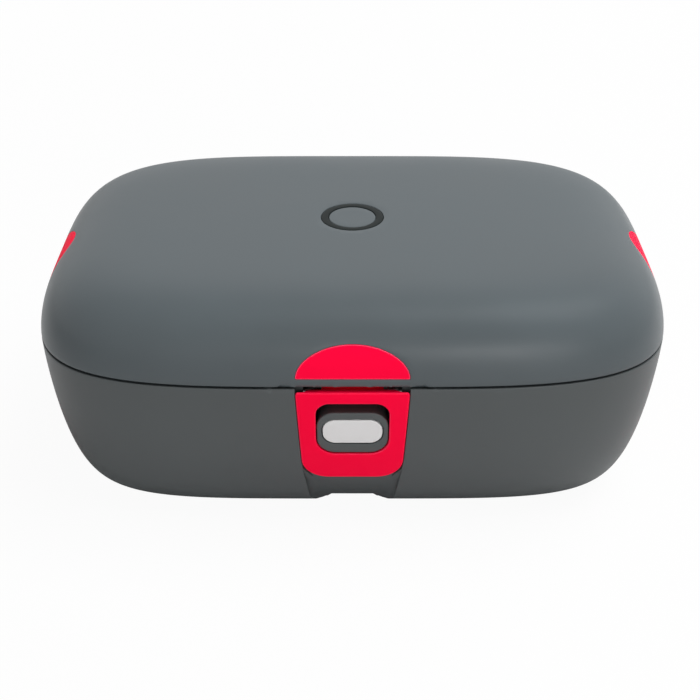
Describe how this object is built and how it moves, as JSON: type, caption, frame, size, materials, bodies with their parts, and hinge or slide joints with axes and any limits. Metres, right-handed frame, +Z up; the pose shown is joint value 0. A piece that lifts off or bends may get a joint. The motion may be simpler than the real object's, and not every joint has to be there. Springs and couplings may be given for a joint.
{
  "type": "electric lunch box",
  "caption": "Portable heated lunch box: hinged lid with push button, red side latches, steel dish in a heated well, rear mains inlet.",
  "frame": {"origin": "bottom centre of the whole object, hinge included, on the plane the feet rest on", "axes": "+Z up, -Y towards the front with the windowed latch, +X to the right seen from the front"},
  "size_m": [0.265, 0.1872, 0.108],
  "materials": {
    "base_plastic": "soft-touch matt",
    "lid_plastic": "soft-touch matt",
    "deck_plastic": "fine matt",
    "liner_plastic": "fine matt",
    "red_plastic": "satin",
    "pale_plastic": "satin",
    "black_gloss": "gloss",
    "black_plastic": "satin",
    "relay_plastic": "gloss",
    "foot_rubber": "matt",
    "silicone": "matt",
    "bare_steel": "zinc plated",
    "spring_steel": "drawn wire",
    "dish_steel": "brushed",
    "shield_steel": "rolled sheet",
    "heater_aluminium": "satin",
    "contact_brass": "plated",
    "mica_film": "matt",
    "fibre_pad": "felted",
    "foam": "felted",
    "fuse_ceramic": "matt",
    "circuit_board": "solder mask",
    "coil_tape": "tape",
    "led_lens": "clear",
    "lead_jacket": "matt",
    "inlet_jacket": "matt",
    "earth_jacket": "matt",
    "neutral_jacket": "matt",
    "heater_jacket": "braided"
  },
  "bodies": {
    "base": {"base_shell": "base_plastic", "bottom_cover": "base_plastic", "rubber_feet": "foot_rubber", "bottom_cover_screws": "bare_steel", "inner_tub": "deck_plastic", "heater_gasket": "silicone", "heater_plate": "heater_aluminium", "heating_element": "mica_film", "insulation_pad": "fibre_pad", "heat_shield": "shield_steel", "heat_shield_screws": "bare_steel", "thermostat": "black_plastic", "thermal_fuse": "fuse_ceramic", "fuse_clip": "bare_steel", "control_board": "circuit_board", "board_relay": "relay_plastic", "board_capacitor": "black_gloss", "board_transformer": "coil_tape", "board_connectors": "pale_plastic", "control_board_screws": "bare_steel", "inlet_socket": "black_plastic", "inlet_pins": "contact_brass", "inlet_screws": "bare_steel", "live_lead": "inlet_jacket", "earth_lead": "earth_jacket", "neutral_lead": "neutral_jacket", "heater_leads": "heater_jacket", "button_lead_base": "lead_jacket", "steel_dish": "dish_steel", "button_housing": "base_plastic", "release_spring": "spring_steel", "latch_pins": "spring_steel", "front_latch_spring": "spring_steel", "left_latch_spring": "spring_steel", "right_latch_spring": "spring_steel", "hinge_pins": "spring_steel"},
    "lid": {"lid_shell": "lid_plastic", "front_keeper": "red_plastic", "left_keeper": "red_plastic", "right_keeper": "red_plastic", "lid_liner": "liner_plastic", "lid_liner_screws": "bare_steel", "lid_insulation": "foam", "lid_seal": "silicone", "indicator_ring": "black_gloss", "button_board": "circuit_board", "button_board_screws": "bare_steel", "tact_switch": "black_plastic", "indicator_leds": "led_lens", "button_lead_lid": "lead_jacket"},
    "front_latch": {"front_latch": "red_plastic"},
    "left_latch": {"left_latch": "red_plastic"},
    "right_latch": {"right_latch": "red_plastic"},
    "release_button": {"release_button": "pale_plastic"},
    "power_button": {"power_button": "lid_plastic", "switch_plunger": "pale_plastic"}
  },
  "joints": [
    {"name": "lid_hinge", "type": "hinge", "parent": "base", "child": "lid", "pos_m": [0, 0.0894, 0.076], "axis": [-1, 0, 0], "range_deg": [0, 105]},
    {"name": "front_latch_pivot", "type": "hinge", "parent": "base", "child": "front_latch", "pos_m": [0, -0.0874, 0.0708], "axis": [-1, 0, 0], "range_deg": [0, 22], "stiffness_Nm_per_rad": 0.02, "springref_deg": -5.73, "deforming": ["front_latch_spring"]},
    {"name": "left_latch_pivot", "type": "hinge", "parent": "base", "child": "left_latch", "pos_m": [-0.1263, -0.0106, 0.0708], "axis": [0, 1, 0], "range_deg": [0, 22], "stiffness_Nm_per_rad": 0.02, "springref_deg": -5.73, "deforming": ["left_latch_spring"]},
    {"name": "right_latch_pivot", "type": "hinge", "parent": "base", "child": "right_latch", "pos_m": [0.1263, -0.0106, 0.0708], "axis": [0, -1, 0], "range_deg": [0, 22], "stiffness_Nm_per_rad": 0.02, "springref_deg": -5.73, "deforming": ["right_latch_spring"]},
    {"name": "release_button_slide", "type": "slide", "parent": "base", "child": "release_button", "axis": [0, 1, 0], "range_m": [0, 0.002], "stiffness_N_per_m": 300, "springref_m": -0.001, "deforming": ["release_spring"]},
    {"name": "power_button_slide", "type": "slide", "parent": "lid", "child": "power_button", "axis": [0, 0, -1], "range_m": [0, 0.0008], "stiffness_N_per_m": 800, "springref_m": -0.0005}
  ]
}
